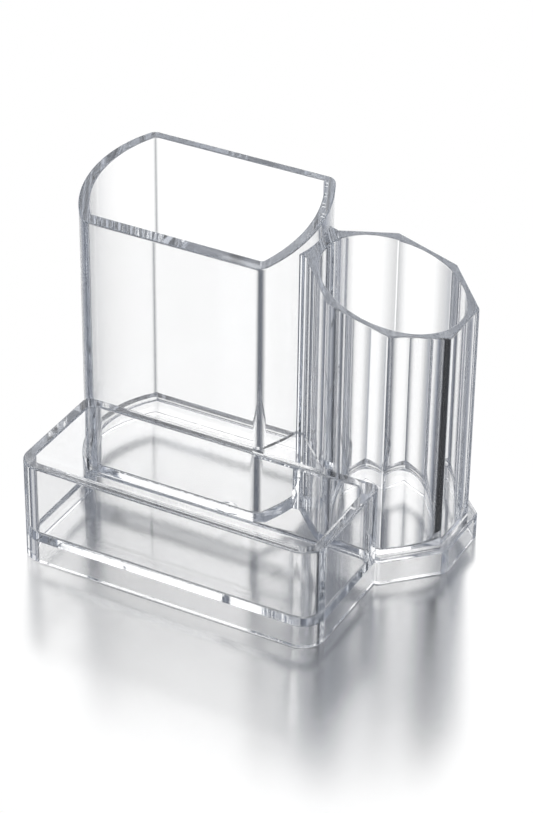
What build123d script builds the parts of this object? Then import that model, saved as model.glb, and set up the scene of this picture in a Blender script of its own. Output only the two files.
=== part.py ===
from build123d import *
import os
from math import asin, degrees

# Clear moulded desk organiser: a low tray across the front, a tall bow-sided
# compartment behind it on the left and an eight-sided brush cup on the right.
# Millimetres. X runs along the front, Y to the rear, Z up. The origin is on the
# standing surface, under the middle of the footprint. Plan sketches are drawn from
# the tray's outer front left corner and placed on the plane "table".

# ---------------------------------------------------------------- driving sizes
# low front tray
tray_width = 90.0
tray_depth = 37.5
tray_height = 30.4
tray_wall = 3.1
tray_front_corner = 6.5
tray_rear_corner = 2.5
tray_inner_corner = 3.4

# tall compartment: flat front and rear walls, bowed side walls, rim rising rearward
tall_front_width = 53.5
tall_depth = 42.0
tall_rear_overhang = 2.0
tall_bow_left = 8.4
tall_bow_right = 5.7
tall_front_wall = 3.7
tall_side_wall = 3.0
tall_rear_wall = 2.3
tall_front_height = 85.0
tall_rim_rise = 7.5
tall_outer_corner = 1.2
tall_inner_corner = 1.0

# brush cup: octagon outside, round bore, rim falling to the right
cup_across_flats = 42.0
cup_wall = 1.6
cup_high_side = 84.5
cup_rim_fall = 12.0

# base: floor plate on a hollow skirt that steps out round the two rear containers
floor_height = 8.0
floor_thickness = 2.0
skirt_wall = 2.5
ledge = 2.5
ledge_corner = 2.0

# round gate recess in the underside of the floor, from the tray's outer front left corner
gate_diameter = 6.4
gate_depth = 0.5
gate_x = 43.5
gate_y = 41.0

# joints between the containers
web_thickness = 1.2
shelf_thickness = 2.2

# softened moulded edges
rim_round = 0.5
rim_bevel = 0.4
ledge_round = 0.4
foot_round = 0.4

# ---------------------------------------------------------------- derived places
floor_underside = floor_height - floor_thickness
rear_y = tray_depth + tall_depth
cup_apothem = cup_across_flats / 2
cup_x = tall_front_width + tall_bow_right + web_thickness + cup_apothem
cup_y = tray_depth + cup_apothem
cup_left_x = cup_x - cup_apothem
cup_bore = cup_across_flats - 2 * cup_wall
tall_slope = tall_rim_rise / tall_depth
cup_slope = cup_rim_fall / cup_across_flats


def bowed_outline(left_side, right_side, front, rear, inset):
    """Closed outline with straight front and rear and the two side arcs drawn in by inset."""

    def stretch(side, way):
        radius = side.radius - inset
        centre = side.arc_center
        front_angle = degrees(asin((front - centre.Y) / radius))
        rear_angle = degrees(asin((rear - centre.Y) / radius))
        if way < 0:
            front_angle, rear_angle = 180 - front_angle, 180 - rear_angle
        return CenterArc(centre, radius, front_angle, rear_angle - front_angle, mode=Mode.PRIVATE)

    right = stretch(right_side, 1)
    left = stretch(left_side, -1)
    add(right)
    Line(right @ 1, left @ 1)
    add(left)
    Line(left @ 0, right @ 0)


# outer side arcs of the tall compartment, from the front wall to the rear wall
left_bow = SagittaArc((0, tray_depth), (-tall_rear_overhang, rear_y), tall_bow_left)
right_bow = SagittaArc((tall_front_width, tray_depth), (tall_front_width, rear_y), -tall_bow_right)

# ---------------------------------------------------------------- shared outlines
with BuildSketch() as tall_outline:
    with BuildLine():
        bowed_outline(left_bow, right_bow, tray_depth, rear_y, 0)
    make_face()
    fillet(tall_outline.vertices(), tall_outer_corner)

with BuildSketch() as tall_void:
    with BuildLine():
        bowed_outline(
            left_bow, right_bow, tray_depth + tall_front_wall, rear_y - tall_rear_wall, tall_side_wall
        )
    make_face()
    fillet(tall_void.vertices(), tall_inner_corner)

with BuildSketch() as cup_outline:
    with Locations((cup_x, cup_y)):
        RegularPolygon(cup_apothem, 8, major_radius=False, rotation=22.5)

cup_left_corners = cup_outline.vertices().group_by(Axis.X)[0].sort_by(Axis.Y)
web_front = cup_left_corners[0].Y
web_rear = cup_left_corners[-1].Y
shelf_right = cup_outline.vertices().group_by(Axis.Y)[0].sort_by(Axis.X)[0].X

with BuildSketch() as tray_outline:
    with Locations((tray_width / 2, tray_depth / 2)):
        Rectangle(tray_width, tray_depth)
    by_depth = tray_outline.vertices().group_by(Axis.Y)
    fillet(by_depth[0], tray_front_corner)
    fillet(tray_outline.vertices().group_by(Axis.Y)[-1], tray_rear_corner)

# the corner left between tray, tall compartment and cup
with BuildSketch() as corner_outline:
    with BuildLine():
        Polyline(
            (tall_front_width, tray_depth),
            (shelf_right, tray_depth),
            (cup_left_x, web_front),
            (tall_front_width, web_front),
            close=True,
        )
    make_face()
    add(tall_outline.sketch, mode=Mode.SUBTRACT)

# the gap between the bowed wall and the cup's left flat
with BuildSketch() as web_outline:
    with Locations((cup_left_x, cup_y)):
        Rectangle(
            cup_left_x - tall_front_width, web_rear - web_front, align=(Align.MAX, Align.CENTER)
        )
    add(tall_outline.sketch, mode=Mode.SUBTRACT)


def rear_base(step):
    """Outline round the two rear containers, stepped out from their walls by step."""
    with BuildSketch() as base:
        with BuildLine():
            bowed_outline(left_bow, right_bow, tray_depth - step, rear_y + step, -step)
        make_face()
        with Locations((cup_x, cup_y)):
            RegularPolygon(cup_apothem + step, 8, major_radius=False, rotation=22.5)
        add(corner_outline.sketch)
        add(web_outline.sketch)
    return base.sketch


# footprint: tray, and the two rear containers with their ledge round them
with BuildSketch() as footprint:
    add(rear_base(ledge))
    fillet(footprint.vertices().group_by(Axis.X)[-1], ledge_corner)
    add(tray_outline.sketch)

# hollow of the skirt, open from the tray through to the rear
with BuildSketch() as skirt_void:
    add(rear_base(ledge - skirt_wall))
    with Locations((tray_width / 2, skirt_wall)):
        Rectangle(tray_width - 2 * skirt_wall, tray_depth, align=(Align.CENTER, Align.MIN))
    fillet(skirt_void.vertices().group_by(Axis.Y)[0], tray_front_corner - skirt_wall)

# the standing surface, with the middle of the footprint over the origin
middle = footprint.sketch.bounding_box().center()
table = Plane(origin=(-middle.X, -middle.Y, 0))
ledge_front = tray_depth - ledge - middle.Y
ledge_rear = rear_y + ledge - middle.Y

# the slanting rims are cut by planes that rise to the rear and fall to the right
tall_rim = Plane(
    origin=table.from_local_coords((0, tray_depth, tall_front_height)),
    x_dir=(1, 0, 0),
    z_dir=(0, -tall_slope, 1),
)
cup_rim = Plane(
    origin=table.from_local_coords((cup_left_x, cup_y, cup_high_side)),
    x_dir=(1, 0, -cup_slope),
    z_dir=(cup_slope, 0, 1),
)

# ---------------------------------------------------------------- base
with BuildPart() as base_floor:
    with BuildSketch(table.offset(floor_underside)):
        add(footprint.sketch)
        add(corner_outline.sketch, mode=Mode.SUBTRACT)
    extrude(amount=floor_thickness)
    top_edges = base_floor.faces().sort_by(Axis.Z)[-1].outer_wire().edges()
    fillet(top_edges.filter_by_position(Axis.Y, ledge_front, ledge_rear), ledge_round)
    with BuildSketch(table.offset(floor_underside)):
        with Locations((gate_x, gate_y)):
            Circle(gate_diameter / 2)
    extrude(amount=gate_depth, mode=Mode.SUBTRACT)
base_floor.part.label = "base_floor"

with BuildPart() as base_skirt:
    with BuildSketch(table):
        add(footprint.sketch)
        add(skirt_void.sketch, mode=Mode.SUBTRACT)
    extrude(amount=floor_underside)
    foot_edges = base_skirt.faces().sort_by(Axis.Z)[0].outer_wire().edges()
    fillet(foot_edges, foot_round)
base_skirt.part.label = "base_skirt"

# ---------------------------------------------------------------- front tray
with BuildPart() as front_tray:
    with BuildSketch(table.offset(floor_height)):
        add(tray_outline.sketch)
        with Locations((tray_width / 2, tray_depth / 2)):
            RectangleRounded(
                tray_width - 2 * tray_wall,
                tray_depth - 2 * tray_wall,
                tray_inner_corner,
                mode=Mode.SUBTRACT,
            )
    extrude(amount=tray_height - floor_height)
    tray_rim_face = front_tray.faces().sort_by(Axis.Z)[-1]
    fillet(tray_rim_face.edges().sort_by(Axis.Y)[:-3], rim_round)
front_tray.part.label = "front_tray"

# ---------------------------------------------------------------- tall compartment
with BuildPart() as tall_compartment:
    with BuildSketch(table.offset(floor_height)):
        add(tall_outline.sketch)
        add(tall_void.sketch, mode=Mode.SUBTRACT)
    extrude(amount=tall_front_height + tall_rim_rise)
    split(bisect_by=tall_rim, keep=Keep.BOTTOM)
    chamfer(tall_compartment.faces().sort_by(Axis.Z)[-1].edges(), rim_bevel)
tall_compartment.part.label = "tall_compartment"

# ---------------------------------------------------------------- brush cup
with BuildPart() as brush_cup:
    with BuildSketch(table.offset(floor_height)):
        add(cup_outline.sketch)
        with Locations((cup_x, cup_y)):
            Circle(cup_bore / 2, mode=Mode.SUBTRACT)
    extrude(amount=cup_high_side)
    split(bisect_by=cup_rim, keep=Keep.BOTTOM)
    cup_rim_edges = brush_cup.faces().sort_by(Axis.Z)[-1].edges().sort_by(Axis.X)
    chamfer(cup_rim_edges[1:], rim_bevel)
brush_cup.part.label = "brush_cup"

# web that closes the narrow gap between the bowed wall and the cup's left flat
with BuildPart() as joining_web:
    with BuildSketch(table.offset(floor_height)):
        add(web_outline.sketch)
    extrude(amount=cup_high_side)
    split(bisect_by=cup_rim, keep=Keep.BOTTOM)
    split(bisect_by=tall_rim, keep=Keep.BOTTOM)
joining_web.part.label = "joining_web"

# flat top, level with the tray rim, over the corner between the three containers
with BuildPart() as corner_shelf:
    with BuildSketch(table.offset(tray_height - shelf_thickness)):
        add(corner_outline.sketch)
    extrude(amount=shelf_thickness)
corner_shelf.part.label = "corner_shelf"

# ---------------------------------------------------------------- output
os.makedirs("parts", exist_ok=True)
export_step(base_floor.part, "parts/base_floor.step")
export_step(base_skirt.part, "parts/base_skirt.step")
export_step(front_tray.part, "parts/front_tray.step")
export_step(tall_compartment.part, "parts/tall_compartment.step")
export_step(brush_cup.part, "parts/brush_cup.step")
export_step(joining_web.part, "parts/joining_web.step")
export_step(corner_shelf.part, "parts/corner_shelf.step")
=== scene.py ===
from math import atan2, cos, degrees, pi, radians, sin, sqrt, tan

import bmesh
import bpy
from mathutils import Matrix, Vector

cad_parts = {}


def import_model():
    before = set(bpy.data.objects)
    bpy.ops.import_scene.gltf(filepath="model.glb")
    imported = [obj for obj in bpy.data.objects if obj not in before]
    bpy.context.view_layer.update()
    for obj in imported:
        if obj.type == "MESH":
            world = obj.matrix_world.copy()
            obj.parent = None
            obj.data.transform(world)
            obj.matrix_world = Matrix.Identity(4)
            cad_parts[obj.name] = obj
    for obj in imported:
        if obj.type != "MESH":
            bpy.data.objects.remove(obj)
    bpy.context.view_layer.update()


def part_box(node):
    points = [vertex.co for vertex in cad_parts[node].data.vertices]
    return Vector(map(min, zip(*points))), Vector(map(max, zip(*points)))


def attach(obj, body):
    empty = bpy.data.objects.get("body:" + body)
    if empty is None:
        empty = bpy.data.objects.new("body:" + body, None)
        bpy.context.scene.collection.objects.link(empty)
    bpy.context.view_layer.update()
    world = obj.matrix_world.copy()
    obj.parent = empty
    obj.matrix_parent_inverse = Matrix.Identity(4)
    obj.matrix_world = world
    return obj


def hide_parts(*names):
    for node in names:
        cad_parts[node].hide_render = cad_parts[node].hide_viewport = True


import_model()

# Clear moulded organiser: a low tray in front, a tall bow-sided compartment behind it on
# the left, an octagonal cup with a round bore on the right, all on one hollow base.

# ---------------------------------------------------------------- sizes, in metres
TRAY_WALL = 0.0031
TRAY_FRONT_CORNER = 0.0065
TRAY_REAR_CORNER = 0.0025
TRAY_INNER_CORNER = 0.0034

TALL_FRONT_WIDTH = 0.0535
TALL_REAR_OVERHANG = 0.0020
TALL_BOW_LEFT = 0.0084
TALL_BOW_RIGHT = 0.0057
TALL_FRONT_WALL = 0.0037
TALL_SIDE_WALL = 0.0030
TALL_REAR_WALL = 0.0023
TALL_FRONT_HEIGHT = 0.0850
TALL_RIM_RISE = 0.0075
TALL_OUTER_CORNER = 0.0032
TALL_INNER_CORNER = 0.0010

CUP_BORE = 0.0388
CUP_HIGH_SIDE = 0.0845
CUP_RIM_FALL = 0.0120
CUP_CORNER = 0.0006

LEDGE = 0.0025
LEDGE_CORNER = 0.0020
SKIRT_WALL = 0.0025
UNDER_REAR_CORNER = 0.0010

GATE_RADIUS = 0.0032
GATE_DEPTH = 0.0005
GATE_FROM_LEFT = 0.0435
GATE_FROM_FRONT = 0.0410

# softened edges
RIM_ROUND = 0.0005
SLANT_RIM_ROUND = 0.0004
FOOT_ROUND = 0.0004
FLOOR_COVE = 0.0012
TALL_FLOOR_COVE = 0.00084

# the flare of a hollow's rim: where its curve ends, in degrees, and its straight run past
# that, as a share of the rim's radius
FLARE_END = 75
FLARE_RUN = 0.2

# edges that turn by more than this, in degrees, are shaded as sharp
SHARP_ANGLE = 28

# how far a solid reaches into its neighbour, or a cutter past what it cuts
INTO_WALL = 0.0010
REACH = 0.0100

# corners nearer to each other than this are made one
MERGE = 0.000002

# steps of the curves, and points of the whole circles
BOW_STEPS = 64
BOW_CORNER_STEPS = 6
TRAY_CORNER_STEPS = 10
CUP_CORNER_STEPS = 3
EDGE_STEPS = 4
COVE_STEPS = 5
BORE_POINTS = 180
GATE_POINTS = 60

# ---------------------------------------------------------------- the plastic
PLASTIC_IOR = 1.57
PLASTIC_TINT = (0.80, 0.86, 0.93, 1.0)
PLASTIC_DENSITY = 3.0

# ripples: features per metre, the share of that up the walls, and depth in metres
RIPPLE_SCALE = 150.0
RIPPLE_RISE = 0.25
RIPPLE_DEPTH = 0.000006

# scuffs: features per metre, where they fade in by pattern and by how far a face looks up,
# and where they fade out by height, in metres
SCUFF_SCALE = 900.0
SCUFF_DETAIL = 6.0
SCUFF_SHARE = (0.52, 0.72)
SCUFF_FACING = (0.6, 0.9)
SCUFF_HEIGHT = (0.0090, 0.0100)
SCUFF_ROUGHNESS = 0.16

# ---------------------------------------------------------------- the studio
FLOOR_SIZE = 3.0
FLOOR_GAP = 0.00003
FLOOR_COLOUR = (0.76, 0.76, 0.76, 1.0)
FLOOR_METALLIC = 0.96
FLOOR_ROUGHNESS = 0.19
FLOOR_ROUGHNESS_SPREAD = 0.06
FLOOR_GRAIN_SCALE = 420.0
FLOOR_GRAIN_DETAIL = 4.0

# the floor turns white, as the camera sees it, outside a pool in front of the object
POOL_CENTRE = (0.035, -0.035, 0.0)
POOL_FADE = (0.045, 0.105)
# and far out, as the plastic and the floor's gloss see it
FAR_FADE = (0.30, 0.50)

# brightness of the studio's wall by azimuth, in degrees from the rear towards the right
STUDIO_WALL = (
    (-180, 0.62), (-162, 0.50), (-150, 0.04), (-114, 0.04), (-104, 0.50), (-96, 0.90), (-80, 0.90),
    (-70, 0.55), (-60, 0.14), (-47, 0.14), (-41, 1.20), (-36, 1.60), (-18, 1.60), (-8, 1.00), (4, 0.60),
    (16, 0.30), (40, 0.08), (48, 0.00), (88, 0.02), (112, 0.04), (124, 0.15), (134, 0.60), (150, 0.75),
    (168, 0.64), (180, 0.62),
)
STUDIO_DARK = 0.02
STUDIO_BLUE = 0.22
STUDIO_BLUE_GREEN = 0.4
# elevations, in degrees, between which the wall ends and the lit ceiling begins
WALL_TOP = (56, 72)
CEILING = (68, 80)
CEILING_LEVEL = 1.0

LIGHT_BOUNCES = 96

# ---------------------------------------------------------------- the photograph's camera
# places in metres, angles in degrees, lens and sensor in millimetres
CAMERA_AIM = Vector((0.00458, 0.00520, 0.03794))
CAMERA_DISTANCE = 0.7738
CAMERA_AZIMUTH = 27.79
CAMERA_PITCH = 32.67
CAMERA_ROLL = 0.68
CAMERA_LENS = 127.74
CAMERA_SENSOR = 36

# ---------------------------------------------------------------- places from the frame
TRAY_LOW, TRAY_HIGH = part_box("front_tray")
TALL_LOW, TALL_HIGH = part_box("tall_compartment")
CUP_LOW, CUP_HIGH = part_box("brush_cup")
FLOOR_LOW, FLOOR_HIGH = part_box("base_floor")
SHELF_LOW, SHELF_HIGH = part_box("corner_shelf")
LEFT = TRAY_LOW.x
FRONT = TALL_LOW.y
REAR = TALL_HIGH.y
CUP_X = (CUP_LOW.x + CUP_HIGH.x) / 2
CUP_Y = (CUP_LOW.y + CUP_HIGH.y) / 2
CUP_APOTHEM = (CUP_HIGH.x - CUP_LOW.x) / 2
CUP_HALF_FLAT = CUP_APOTHEM * tan(pi / 8)


# ---------------------------------------------------------------- outlines
def arc(x, y, radius, start, end, steps, ends=True):
    """Arc of an outline, in degrees. Without ends it meets its neighbours in a tangent."""
    return {"x": x, "y": y, "radius": radius, "start": start, "end": end, "steps": steps, "ends": ends}


def circle(x, y, radius, points):
    """Whole circle as an outline."""
    return [arc(x, y, radius, 0, 360 - 360 / points, points - 1)]


def loop(arcs, inset=0.0):
    """Plan points of an outline, drawn in by inset, with straight runs between its arcs."""
    points = []
    for a in arcs:
        first = 0 if a["ends"] else 1
        last = a["steps"] + 1 if a["ends"] else a["steps"]
        for i in range(first, last):
            angle = radians(a["start"] + (a["end"] - a["start"]) * i / a["steps"])
            reach = a["radius"] - inset
            points.append((a["x"] + reach * cos(angle), a["y"] + reach * sin(angle)))
    return points


def rounded_rectangle(low_x, low_y, high_x, high_y, front_corner, rear_corner):
    """Rectangle with one radius at its front corners and one at its rear corners."""
    f, r, steps = front_corner, rear_corner, TRAY_CORNER_STEPS
    return [
        arc(low_x + f, low_y + f, f, 180, 270, steps),
        arc(high_x - f, low_y + f, f, 270, 360, steps),
        arc(high_x - r, high_y - r, r, 0, 90, steps),
        arc(low_x + r, high_y - r, r, 90, 180, steps),
    ]


def octagon(apothem, corner):
    """The cup's outline: eight flats with small corners."""
    reach = (apothem - corner) / cos(pi / 8)
    arcs = []
    for k in range(8):
        turn = 22.5 + 45 * k
        x = CUP_X + reach * cos(radians(turn))
        y = CUP_Y + reach * sin(radians(turn))
        arcs.append(arc(x, y, corner, turn - 22.5, turn + 22.5, CUP_CORNER_STEPS))
    return arcs


def side_circle(start, end, sagitta):
    """Centre and radius of the circle through two points, bulging left of start to end."""
    middle = (start + end) / 2
    chord = end - start
    half = chord.length / 2
    radius = (half * half + sagitta * sagitta) / (2 * sagitta)
    outward = Vector((-chord.y, chord.x)).normalized()
    return middle - outward * (radius - sagitta), radius


def bowed_side(centre, radius, side, front, rear, corner):
    """Corner, bow and corner of one side: the right one (1) rearward, the left one (-1) forward."""
    places = []
    for y in (front + corner, rear - corner):
        x = centre.x + side * sqrt((radius - corner) ** 2 - (y - centre.y) ** 2)
        places.append((x, y, degrees(atan2(y - centre.y, x - centre.x)) % 360))
    (front_x, front_y, front_turn), (rear_x, rear_y, rear_turn) = places
    if side > 0:
        front_turn = (front_turn + 180) % 360 - 180
        return [
            arc(front_x, front_y, corner, -90, front_turn, BOW_CORNER_STEPS),
            arc(centre.x, centre.y, radius, front_turn, rear_turn, BOW_STEPS, ends=False),
            arc(rear_x, rear_y, corner, rear_turn, 90, BOW_CORNER_STEPS),
        ]
    return [
        arc(rear_x, rear_y, corner, 90, rear_turn, BOW_CORNER_STEPS),
        arc(centre.x, centre.y, radius, rear_turn, front_turn, BOW_STEPS, ends=False),
        arc(front_x, front_y, corner, front_turn, 270, BOW_CORNER_STEPS),
    ]


def bowed(grow, corner, front_in=0.0, rear_in=0.0):
    """The tall compartment's outline with its sides moved out by grow and its ends moved in."""
    front, rear = FRONT + front_in, REAR - rear_in
    right_x = LEFT + TALL_FRONT_WIDTH
    left_centre, left_radius = side_circle(
        Vector((LEFT, FRONT)), Vector((LEFT - TALL_REAR_OVERHANG, REAR)), TALL_BOW_LEFT
    )
    right_centre, right_radius = side_circle(
        Vector((right_x, REAR)), Vector((right_x, FRONT)), TALL_BOW_RIGHT
    )
    return (
        bowed_side(right_centre, right_radius + grow, 1, front, rear, corner)
        + bowed_side(left_centre, left_radius + grow, -1, front, rear, corner)
    )


# ---------------------------------------------------------------- solids
def level(height):
    """A rim that is level."""
    return lambda x, y: height


def tall_rim(x, y):
    """Height of the tall compartment's rim, which rises to the rear."""
    return TALL_FRONT_HEIGHT + TALL_RIM_RISE * (y - FRONT) / (REAR - FRONT)


def cup_rim(x, y):
    """Height of the cup's rim, which falls to the right."""
    return CUP_HIGH_SIDE - CUP_RIM_FALL * (x - CUP_LOW.x) / (CUP_HIGH.x - CUP_LOW.x)


def solid(name, levels):
    """Closed mesh through loops with equally many points, from the lowest to the highest."""
    count = len(levels[0])
    mesh = bpy.data.meshes.new(name)
    verts = [p for points in levels for p in points]
    faces = [list(reversed(range(count)))]
    for k in range(len(levels) - 1):
        for i in range(count):
            j = (i + 1) % count
            faces.append((k * count + i, k * count + j, (k + 1) * count + j, (k + 1) * count + i))
    faces.append([(len(levels) - 1) * count + i for i in range(count)])
    mesh.from_pydata(verts, [], faces)
    obj = bpy.data.objects.new(name, mesh)
    bpy.context.scene.collection.objects.link(obj)
    return obj


def at_height(points, height, drop=0.0):
    """Plan points raised to a level or slanting rim, less a drop."""
    return [(x, y, height(x, y) - drop) for x, y in points]


def foot_loops(outline, bottom, radius, steps):
    """Loops of a rounded bottom edge, or the one loop of a sharp one."""
    loops = []
    for k in range(steps + 1 if radius else 1):
        turn = pi / 2 * k / steps
        points = loop(outline, radius * (1 - sin(turn)))
        loops.append(at_height(points, level(bottom), -radius * (1 - cos(turn))))
    return loops


def block(name, outline, bottom, rim, foot=0.0, top=0.0):
    """Upright solid with rounded foot and rim."""
    loops = foot_loops(outline, bottom, foot, EDGE_STEPS)
    for k in range(EDGE_STEPS + 1 if top else 1):
        turn = pi / 2 * (1 - k / EDGE_STEPS)
        loops.append(at_height(loop(outline, top * (1 - sin(turn))), rim, top * (1 - cos(turn))))
    return solid(name, loops)


def hollow(name, outline, floor_height, rim, cove, flare):
    """Upright cutter with a coved floor, flared at the rim and running past it."""
    loops = foot_loops(outline, floor_height, cove, COVE_STEPS)
    last = radians(FLARE_END)
    for k in range(COVE_STEPS + 1):
        turn = last * k / COVE_STEPS
        loops.append(at_height(loop(outline, -flare * (1 - cos(turn))), rim, flare * (1 - sin(turn))))
    run = flare * FLARE_RUN
    out = flare * (1 - cos(last)) + run * sin(last)
    loops.append(at_height(loop(outline, -out), rim, flare * (1 - sin(last)) - run * cos(last)))
    loops.append(at_height(loop(outline, -out), rim, -REACH))
    return solid(name, loops)


def polygon(name, points, bottom, rim):
    """Upright solid with straight sides."""
    return solid(name, [at_height(points, level(bottom)), at_height(points, rim)])


def combine(body, others, operation):
    """Boolean of body with the other solids, which are used up."""
    for other in others:
        step = body.modifiers.new(operation, "BOOLEAN")
        step.operation = operation
        step.solver = "EXACT"
        step.object = other
        graph = bpy.context.evaluated_depsgraph_get()
        mesh = bpy.data.meshes.new_from_object(body.evaluated_get(graph))
        body.modifiers.clear()
        body.data = mesh
        bpy.data.objects.remove(other)
    return body


# ---------------------------------------------------------------- the moulding
TALL_OUTER = bowed(0.0, TALL_OUTER_CORNER)
TALL_INNER = bowed(-TALL_SIDE_WALL, TALL_INNER_CORNER, TALL_FRONT_WALL, TALL_REAR_WALL)
TALL_LEDGE = bowed(LEDGE, LEDGE_CORNER, -LEDGE, -LEDGE)
CUP_OUTER = octagon(CUP_APOTHEM, CUP_CORNER)
CUP_LEDGE = octagon(CUP_APOTHEM + LEDGE, LEDGE_CORNER)
BORE = circle(CUP_X, CUP_Y, CUP_BORE / 2, BORE_POINTS)
GATE = circle(TRAY_LOW.x + GATE_FROM_LEFT, TRAY_LOW.y + GATE_FROM_FRONT, GATE_RADIUS, GATE_POINTS)
TRAY_OUTER = rounded_rectangle(
    TRAY_LOW.x, TRAY_LOW.y, TRAY_HIGH.x, TRAY_HIGH.y, TRAY_FRONT_CORNER, TRAY_REAR_CORNER
)
TRAY_INNER = rounded_rectangle(
    TRAY_LOW.x + TRAY_WALL,
    TRAY_LOW.y + TRAY_WALL,
    TRAY_HIGH.x - TRAY_WALL,
    TRAY_HIGH.y - TRAY_WALL,
    TRAY_INNER_CORNER,
    TRAY_INNER_CORNER,
)
TRAY_UNDER = rounded_rectangle(
    TRAY_LOW.x + SKIRT_WALL,
    TRAY_LOW.y + SKIRT_WALL,
    TRAY_HIGH.x - SKIRT_WALL,
    TRAY_HIGH.y + SKIRT_WALL,
    TRAY_FRONT_CORNER - SKIRT_WALL,
    UNDER_REAR_CORNER,
)


def corner_points():
    """Corner between tray, tall compartment and cup, reaching into all three walls."""
    shelf_right = CUP_X - CUP_HALF_FLAT
    return [
        (LEFT + TALL_FRONT_WIDTH - INTO_WALL, FRONT - INTO_WALL),
        (shelf_right + INTO_WALL, FRONT - INTO_WALL),
        (shelf_right + INTO_WALL, FRONT + INTO_WALL),
        (CUP_LOW.x + INTO_WALL, CUP_Y - CUP_HALF_FLAT),
        (LEFT + TALL_FRONT_WIDTH + INTO_WALL, CUP_Y - CUP_HALF_FLAT),
    ]


def web_points():
    """Web between the bowed wall and the cup's left flat, reaching into both walls."""
    front, rear = CUP_Y - CUP_HALF_FLAT, CUP_Y + CUP_HALF_FLAT
    left, right = LEFT + TALL_FRONT_WIDTH + INTO_WALL, CUP_LOW.x + INTO_WALL
    return [(left, front), (right, front), (right, rear), (left, rear)]


def base():
    """Floor plate and skirt as one solid, with the corner open from below."""
    top = level(FLOOR_HIGH.z)
    body = block("moulding", TALL_LEDGE, 0.0, top, FOOT_ROUND, RIM_ROUND)
    cup_base = block("cup_base", CUP_LEDGE, 0.0, top, FOOT_ROUND, RIM_ROUND)
    web_base = polygon("web_base", web_points(), 0.0, top)
    combine(body, [cup_base, web_base], "UNION")
    corner = polygon("corner", corner_points(), -REACH, level(FLOOR_HIGH.z + REACH))
    return combine(body, [corner], "DIFFERENCE")


def walls():
    """The three containers as solid blocks, with the web and the shelf that join them."""
    return [
        block("tray", TRAY_OUTER, 0.0, level(TRAY_HIGH.z), FOOT_ROUND, RIM_ROUND),
        block("tall", TALL_OUTER, FOOT_ROUND, tall_rim, 0.0, SLANT_RIM_ROUND),
        block("cup", CUP_OUTER, FOOT_ROUND, cup_rim, 0.0, SLANT_RIM_ROUND),
        polygon("web", web_points(), FOOT_ROUND, cup_rim),
        polygon("shelf", corner_points(), SHELF_LOW.z, level(SHELF_HIGH.z)),
    ]


def hollows():
    """What is open at the top: tray, tall compartment and bore."""
    return [
        hollow("tray_hollow", TRAY_INNER, FLOOR_HIGH.z, level(TRAY_HIGH.z), FLOOR_COVE, RIM_ROUND),
        hollow("tall_hollow", TALL_INNER, FLOOR_HIGH.z, tall_rim, TALL_FLOOR_COVE, SLANT_RIM_ROUND),
        hollow("bore", BORE, FLOOR_HIGH.z, cup_rim, FLOOR_COVE, SLANT_RIM_ROUND),
    ]


def underside():
    """Hollow under the floor plate, with the gate recess in its ceiling."""
    top = level(FLOOR_LOW.z)
    body = block("under", TRAY_UNDER, -REACH, top)
    parts = [
        block("under_tall", TALL_OUTER, -REACH, top),
        block("under_cup", CUP_OUTER, -REACH, top),
        polygon("under_web", web_points(), -REACH, top),
        polygon("under_corner", corner_points(), -REACH, top),
        block("gate_recess", GATE, -REACH, level(FLOOR_LOW.z + GATE_DEPTH)),
    ]
    return combine(body, parts, "UNION")


def clean(mesh):
    """Corners that fall together made one."""
    work = bmesh.new()
    work.from_mesh(mesh)
    bmesh.ops.remove_doubles(work, verts=work.verts, dist=MERGE)
    bmesh.ops.dissolve_degenerate(work, edges=work.edges, dist=MERGE)
    work.to_mesh(mesh)
    work.free()


def moulding():
    """The organiser as one closed skin."""
    body = base()
    combine(body, walls(), "UNION")
    combine(body, hollows(), "DIFFERENCE")
    combine(body, [underside()], "DIFFERENCE")
    clean(body.data)
    body.data.set_sharp_from_angle(angle=radians(SHARP_ANGLE))
    for face in body.data.polygons:
        face.use_smooth = True
    weight = body.modifiers.new("normals", "WEIGHTED_NORMAL")
    weight.keep_sharp = True
    return body


# ---------------------------------------------------------------- nodes
def add_node(tree, kind, settings=None, inputs=None):
    """Node with its settings; each input takes a value or the socket that feeds it."""
    made = tree.nodes.new(kind)
    for name, value in (settings or {}).items():
        setattr(made, name, value)
    for key, value in (inputs or {}).items():
        if isinstance(value, bpy.types.NodeSocket):
            tree.links.new(value, made.inputs[key])
        else:
            made.inputs[key].default_value = value
    return made


def maths(tree, operation, first, second, third=0.0):
    """Result of a sum on numbers or sockets."""
    inputs = {0: first, 1: second, 2: third}
    return add_node(tree, "ShaderNodeMath", {"operation": operation}, inputs).outputs[0]


def vector_maths(tree, operation, inputs):
    """Node for a sum on vectors."""
    return add_node(tree, "ShaderNodeVectorMath", {"operation": operation}, inputs)


def ramp(tree, value, ends, low=0.0, high=1.0):
    """Smooth step from low to high while the value goes from one end to the other."""
    inputs = {"Value": value, "From Min": ends[0], "From Max": ends[1], "To Min": low, "To Max": high}
    step = add_node(tree, "ShaderNodeMapRange", {"interpolation_type": "SMOOTHSTEP"}, inputs)
    return step.outputs["Result"]


def noise(tree, place, scale, detail=2.0):
    """Cloudy pattern, in features per metre."""
    inputs = {"Vector": place, "Scale": scale, "Detail": detail}
    return add_node(tree, "ShaderNodeTexNoise", None, inputs).outputs["Fac"]


def axis_z(tree, vector):
    """Z part of a vector."""
    return add_node(tree, "ShaderNodeSeparateXYZ", None, {0: vector}).outputs["Z"]


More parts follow.
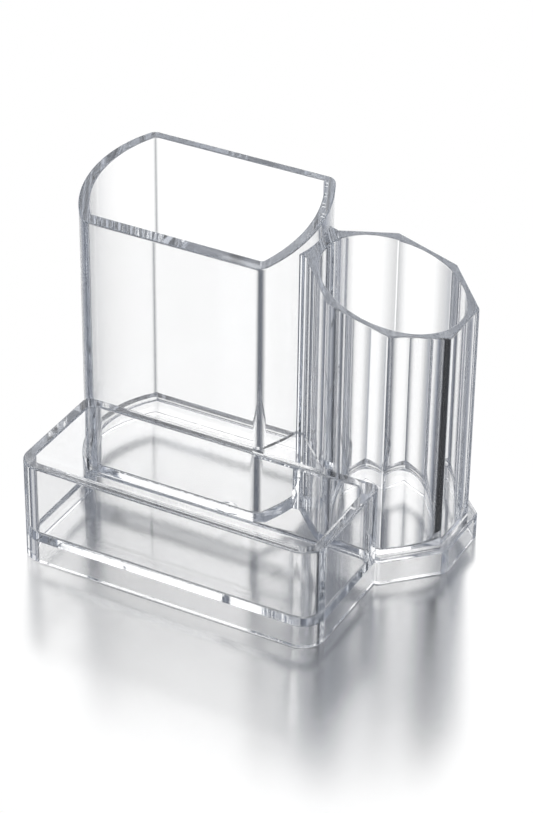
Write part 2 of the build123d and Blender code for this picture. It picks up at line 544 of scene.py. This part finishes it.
# ---------------------------------------------------------------- materials
def scuffs(tree, place):
    """Where fine scuffs lie: in patches on the inner floors and the base's ledge."""
    facing = add_node(tree, "ShaderNodeNewGeometry").outputs["Normal"]
    low = ramp(tree, axis_z(tree, place), SCUFF_HEIGHT, 1.0, 0.0)
    resting = maths(tree, "MULTIPLY", low, ramp(tree, axis_z(tree, facing), SCUFF_FACING))
    patches = ramp(tree, noise(tree, place, SCUFF_SCALE, SCUFF_DETAIL), SCUFF_SHARE)
    return maths(tree, "MULTIPLY", patches, resting)


def clear_plastic():
    """Clear moulded plastic with faint ripples up its walls and fine scuffs on its floors."""
    material = bpy.data.materials.new("clear_plastic")
    material.use_nodes = True
    tree = material.node_tree
    shader = tree.nodes["Principled BSDF"]
    shader.inputs["Base Color"].default_value = (1.0, 1.0, 1.0, 1.0)
    shader.inputs["IOR"].default_value = PLASTIC_IOR
    shader.inputs["Transmission Weight"].default_value = 1.0
    place = add_node(tree, "ShaderNodeTexCoord").outputs["Object"]
    roughness = maths(tree, "MULTIPLY", scuffs(tree, place), SCUFF_ROUGHNESS)
    tree.links.new(roughness, shader.inputs["Roughness"])
    drawn_up = vector_maths(tree, "MULTIPLY", {0: place, 1: (1.0, 1.0, RIPPLE_RISE)}).outputs[0]
    inputs = {"Strength": 1.0, "Distance": RIPPLE_DEPTH, "Height": noise(tree, drawn_up, RIPPLE_SCALE)}
    bump = add_node(tree, "ShaderNodeBump", None, inputs)
    tree.links.new(bump.outputs["Normal"], shader.inputs["Normal"])
    inputs = {"Color": PLASTIC_TINT, "Density": PLASTIC_DENSITY}
    depth = add_node(tree, "ShaderNodeVolumeAbsorption", None, inputs)
    tree.links.new(depth.outputs[0], tree.nodes["Material Output"].inputs["Volume"])
    return material


def floor_white(tree, place):
    """How far the floor has turned white, by place and by the kind of ray that sees it."""
    rays = add_node(tree, "ShaderNodeLightPath").outputs
    from_pool = vector_maths(tree, "DISTANCE", {0: place, 1: POOL_CENTRE}).outputs["Value"]
    from_middle = vector_maths(tree, "LENGTH", {0: place}).outputs["Value"]
    near = maths(tree, "MULTIPLY", ramp(tree, from_pool, POOL_FADE), rays["Is Camera Ray"])
    seen = maths(tree, "MAXIMUM", rays["Is Glossy Ray"], rays["Is Transmission Ray"])
    far = maths(tree, "MULTIPLY", ramp(tree, from_middle, FAR_FADE), seen)
    return maths(tree, "MAXIMUM", near, far)


def floor_material():
    """Satin table top that mirrors the studio's wall and runs out to white."""
    material = bpy.data.materials.new("pale_floor")
    material.use_nodes = True
    tree = material.node_tree
    shader = tree.nodes["Principled BSDF"]
    shader.inputs["Base Color"].default_value = FLOOR_COLOUR
    shader.inputs["Metallic"].default_value = FLOOR_METALLIC
    place = add_node(tree, "ShaderNodeNewGeometry").outputs["Position"]
    grain = noise(tree, place, FLOOR_GRAIN_SCALE, FLOOR_GRAIN_DETAIL)
    roughness = maths(tree, "MULTIPLY_ADD", grain, FLOOR_ROUGHNESS_SPREAD, FLOOR_ROUGHNESS)
    tree.links.new(roughness, shader.inputs["Roughness"])
    white = add_node(tree, "ShaderNodeEmission")
    inputs = {0: floor_white(tree, place), 1: shader.outputs[0], 2: white.outputs[0]}
    mix = add_node(tree, "ShaderNodeMixShader", None, inputs)
    tree.links.new(mix.outputs[0], tree.nodes["Material Output"].inputs["Surface"])
    return material


# ---------------------------------------------------------------- stage
def floor():
    """Table top, a hair below the object's foot so that the two don't share a plane."""
    s, z = FLOOR_SIZE, -FLOOR_GAP
    mesh = bpy.data.meshes.new("floor")
    mesh.from_pydata([(-s, -s, z), (s, -s, z), (s, s, z), (-s, s, z)], [], [(0, 1, 2, 3)])
    mesh.materials.append(floor_material())
    obj = bpy.data.objects.new("floor", mesh)
    bpy.context.scene.collection.objects.link(obj)


def studio_colour(brightness):
    """A grey of the studio, bluer where it is dark."""
    blue = STUDIO_BLUE * max(0.0, 1.0 - brightness)
    tint = (1.0 - blue, 1.0 - blue * STUDIO_BLUE_GREEN, 1.0 + blue)
    return tuple(brightness * part for part in tint) + (1.0,)


def studio_wall(tree, direction):
    """Colour of the studio's wall in a direction split into X, Y and Z."""
    azimuth = maths(tree, "ARCTAN2", direction["X"], direction["Y"])
    turn = maths(tree, "MULTIPLY_ADD", azimuth, 0.5 / pi, 0.5)
    wall = add_node(tree, "ShaderNodeValToRGB", None, {0: turn})
    stops = wall.color_ramp.elements
    while len(stops) < len(STUDIO_WALL):
        stops.new(0.5)
    for stop, (angle, brightness) in zip(stops, STUDIO_WALL):
        stop.position = (angle + 180) / 360
        stop.color = studio_colour(brightness)
    return wall.outputs["Color"]


def world():
    """Studio round the table: a wall lit in parts, a dark belt above it and a lit ceiling."""
    studio = bpy.data.worlds.new("studio")
    bpy.context.scene.world = studio
    studio.use_nodes = True
    tree = studio.node_tree
    generated = add_node(tree, "ShaderNodeTexCoord").outputs["Generated"]
    direction = add_node(tree, "ShaderNodeSeparateXYZ", None, {0: generated}).outputs
    wall_top = [sin(radians(v)) for v in WALL_TOP]
    ceiling = [sin(radians(v)) for v in CEILING]
    inputs = {0: studio_wall(tree, direction), "Scale": ramp(tree, direction["Z"], wall_top, 1.0, 0.0)}
    lit_wall = vector_maths(tree, "SCALE", inputs).outputs[0]
    overhead = ramp(tree, direction["Z"], ceiling, STUDIO_DARK, CEILING_LEVEL)
    total = vector_maths(tree, "ADD", {0: lit_wall, 1: overhead}).outputs[0]
    tree.links.new(total, tree.nodes["Background"].inputs["Color"])


def camera():
    """The photograph's camera."""
    azimuth, pitch, roll = (radians(v) for v in (CAMERA_AZIMUTH, CAMERA_PITCH, CAMERA_ROLL))
    back = Vector((sin(azimuth) * cos(pitch), -cos(azimuth) * cos(pitch), sin(pitch)))
    right = Vector((cos(azimuth), sin(azimuth), 0.0))
    up = back.cross(right)
    turned_right = right * cos(roll) + up * sin(roll)
    turned_up = up * cos(roll) - right * sin(roll)
    data = bpy.data.cameras.new("camera")
    data.lens = CAMERA_LENS
    data.sensor_fit = "AUTO"
    data.sensor_width = CAMERA_SENSOR
    obj = bpy.data.objects.new("camera", data)
    bpy.context.scene.collection.objects.link(obj)
    place = Matrix((turned_right, turned_up, back)).transposed().to_4x4()
    place.translation = CAMERA_AIM + back * CAMERA_DISTANCE
    obj.matrix_world = place
    bpy.context.scene.camera = obj


# ---------------------------------------------------------------- scene
organiser = moulding()
organiser.data.materials.append(clear_plastic())
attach(organiser, "root")
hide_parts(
    "base_floor",
    "base_skirt",
    "front_tray",
    "tall_compartment",
    "brush_cup",
    "joining_web",
    "corner_shelf",
)

floor()
world()
camera()
bpy.context.scene.view_settings.view_transform = "Standard"
for limit in ("max_bounces", "transmission_bounces", "glossy_bounces"):
    setattr(bpy.context.scene.cycles, limit, LIGHT_BOUNCES)
